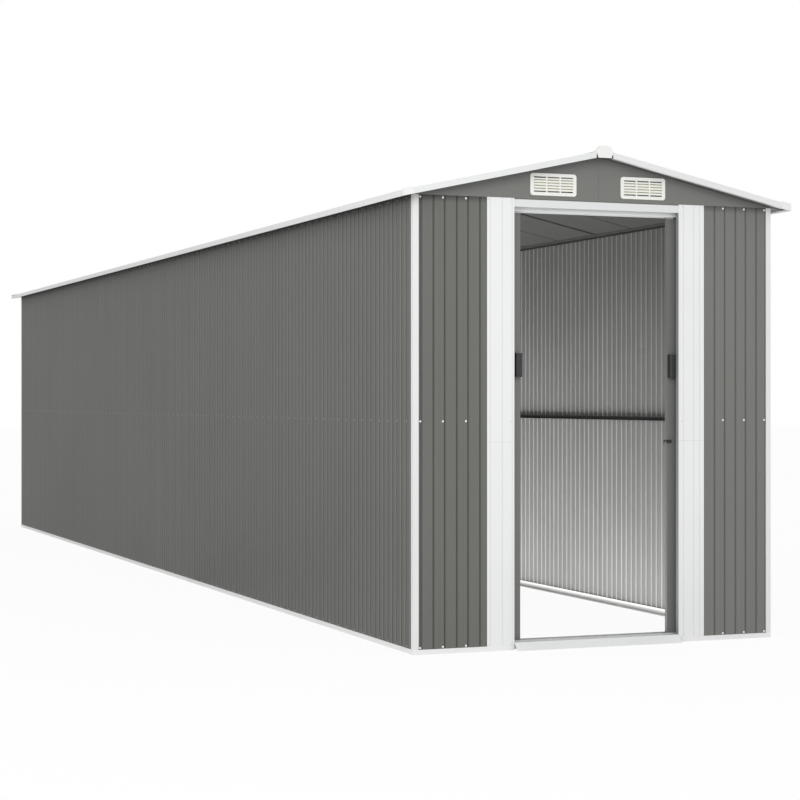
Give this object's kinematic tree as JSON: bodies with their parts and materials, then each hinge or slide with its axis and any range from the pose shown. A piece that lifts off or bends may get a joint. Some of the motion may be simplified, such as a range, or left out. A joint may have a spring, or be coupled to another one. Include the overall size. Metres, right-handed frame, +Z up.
{
  "type": "metal storage shed",
  "caption": "Long narrow metal storage shed with ribbed grey walls, white trims, gable vents and a pair of sliding doors standing open.",
  "frame": {"origin": "on the ground, under the middle of the roof's outline", "axes": "+Z up, +Y along the length away from the doorway, +X to the right seen from the front"},
  "size_m": [1.92, 9.31, 2.226],
  "materials": {
    "grey_sheet": "matte coated sheet",
    "roof_sheet": "matte coated sheet",
    "door_sheet": "matte coated sheet",
    "white_trim": "satin white coating",
    "rail_white": "satin white coating",
    "dark_rail": "matte dark coating",
    "zinc_rail": "galvanised, dull",
    "white_plastic": "smooth moulded",
    "cream_plastic": "smooth moulded",
    "black_plastic": "fine moulded grain"
  },
  "bodies": {
    "shell": {"back_wall": "grey_sheet", "base_rail_back": "rail_white", "base_rail_front": "rail_white", "base_rail_left": "rail_white", "base_rail_right": "rail_white", "corner_caps": "white_plastic", "corner_post_back_left": "white_trim", "corner_post_back_right": "white_trim", "corner_post_front_left": "white_trim", "corner_post_front_right": "white_trim", "door_guide": "zinc_rail", "door_header": "white_trim", "door_jamb_left": "white_trim", "door_jamb_right": "white_trim", "door_threshold": "white_trim", "door_track": "white_trim", "eave_trim_left": "white_trim", "eave_trim_right": "white_trim", "front_panel_left": "grey_sheet", "front_panel_right": "grey_sheet", "gable_back_left": "grey_sheet", "gable_back_right": "grey_sheet", "gable_front_left": "grey_sheet", "gable_front_right": "grey_sheet", "mid_rail_back": "dark_rail", "mid_rail_front": "dark_rail", "mid_rail_left": "dark_rail", "mid_rail_right": "dark_rail", "ridge_beam": "dark_rail", "ridge_cap": "white_trim", "ridge_end_cap_back": "white_plastic", "ridge_end_cap_front": "white_plastic", "roof_left": "roof_sheet", "roof_right": "roof_sheet", "roof_straps": "dark_rail", "side_wall_left": "grey_sheet", "side_wall_right": "grey_sheet", "top_rail_back": "dark_rail", "top_rail_front": "dark_rail", "top_rail_left": "dark_rail", "top_rail_right": "dark_rail", "vents_back": "cream_plastic", "vents_front": "cream_plastic", "verge_trim_back": "white_trim", "verge_trim_front": "white_trim"},
    "left_door": {"door_left": "door_sheet", "door_left_frame": "zinc_rail", "door_left_hangers": "black_plastic", "door_left_handle": "black_plastic"},
    "right_door": {"door_right": "door_sheet", "door_right_frame": "zinc_rail", "door_right_hangers": "black_plastic", "door_right_handle": "black_plastic", "door_hasp": "black_plastic"}
  },
  "joints": [
    {"name": "left_door_slide", "type": "slide", "parent": "shell", "child": "left_door", "axis": [1, 0, 0], "range_m": [0, 0.353]},
    {"name": "right_door_slide", "type": "slide", "parent": "shell", "child": "right_door", "axis": [-1, 0, 0], "range_m": [0, 0.378]}
  ]
}
